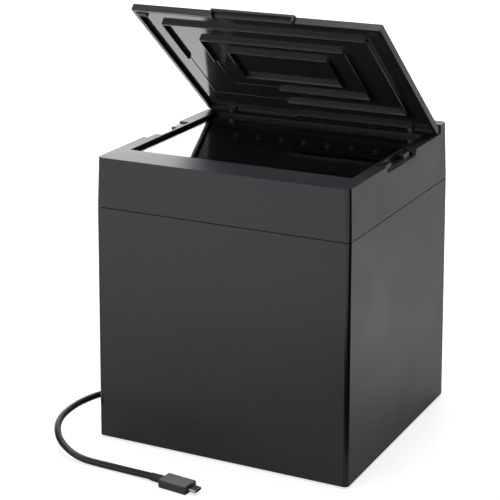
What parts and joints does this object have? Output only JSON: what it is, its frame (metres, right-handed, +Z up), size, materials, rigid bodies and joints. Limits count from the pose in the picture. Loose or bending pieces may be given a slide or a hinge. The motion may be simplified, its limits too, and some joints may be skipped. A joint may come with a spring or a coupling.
{
  "type": "photo scanner",
  "caption": "Tall box-shaped photo scanner: camera and lamps inside, glass top, thin hinged lid held open by friction, side catches, and a short cord with a plug.",
  "frame": {"origin": "centre of the case's footprint, on the floor under the rubber feet", "axes": "+Z up; -Y towards the front, where the lid's finger tab is; +X to the right, so the cord leaves on the -X side"},
  "size_m": [0.2488, 0.2686, 0.3443],
  "materials": {
    "case_plastic": "satin charcoal black, finely textured",
    "dark_plastic": "black moulded plastic",
    "liner_plastic": "glossy black",
    "foot_rubber": "soft black rubber",
    "screw_steel": "plain steel",
    "clear_glass": "clear, polished",
    "foam_tape": "black foam",
    "lamp_lens": "clear to milky",
    "white_board": "white coated board",
    "green_board": "green coated board",
    "chip_plastic": "moulded package",
    "sensor_glass": "glossy window",
    "barrel_metal": "black anodised",
    "red_wire": "insulated wire",
    "ribbon_plastic": "flat ribbon",
    "cord_plastic": "satin black sheath",
    "cord_rubber": "matte black",
    "plug_steel": "bright plated",
    "washer_plastic": "pale hard plastic"
  },
  "bodies": {
    "case": {"base_case": "case_plastic", "base_plate": "dark_plastic", "foot_front_left": "foot_rubber", "foot_front_right": "foot_rubber", "foot_rear_left": "foot_rubber", "foot_rear_right": "foot_rubber", "base_screw_front_left": "screw_steel", "base_screw_front_right": "screw_steel", "base_screw_rear_left": "screw_steel", "base_screw_rear_right": "screw_steel", "upper_frame": "case_plastic", "frame_screw_front_left": "screw_steel", "frame_screw_front_right": "screw_steel", "frame_screw_rear_left": "screw_steel", "frame_screw_rear_right": "screw_steel", "glass_pane": "clear_glass", "glass_tape": "foam_tape", "side_catch_left": "dark_plastic", "side_catch_right": "dark_plastic", "light_box": "dark_plastic", "lamp_lens_front": "lamp_lens", "lamp_lens_rear": "lamp_lens", "lamp_board_front": "white_board", "lamp_board_rear": "white_board", "lamp_holder_front": "dark_plastic", "lamp_holder_rear": "dark_plastic", "lamp_wire_front": "red_wire", "lamp_wire_rear": "red_wire", "main_board": "green_board", "board_screw_front": "screw_steel", "board_screw_rear": "screw_steel", "image_processor": "chip_plastic", "camera_tower": "dark_plastic", "camera_board": "green_board", "image_sensor": "sensor_glass", "lens_holder": "dark_plastic", "lens_barrel": "barrel_metal", "front_lens": "clear_glass", "ribbon_cable": "ribbon_plastic", "inner_lead": "cord_plastic", "cable_gland": "cord_rubber", "usb_cord": "cord_plastic", "plug_boot": "cord_rubber", "plug_mould": "cord_plastic", "plug_shell": "plug_steel", "plug_tongue": "dark_plastic"},
    "lid": {"lid_shell": "case_plastic", "lid_liner": "liner_plastic", "bumper_left": "foot_rubber", "bumper_right": "foot_rubber", "hinge_pin_left": "screw_steel", "hinge_pin_right": "screw_steel", "friction_washer_left": "washer_plastic", "friction_washer_right": "washer_plastic"}
  },
  "joints": [
    {"name": "lid_hinge", "type": "hinge", "parent": "case", "child": "lid", "pos_m": [0, 0.0812, 0.2367], "axis": [1, 0, 0], "range_deg": [0, 39.8]}
  ]
}
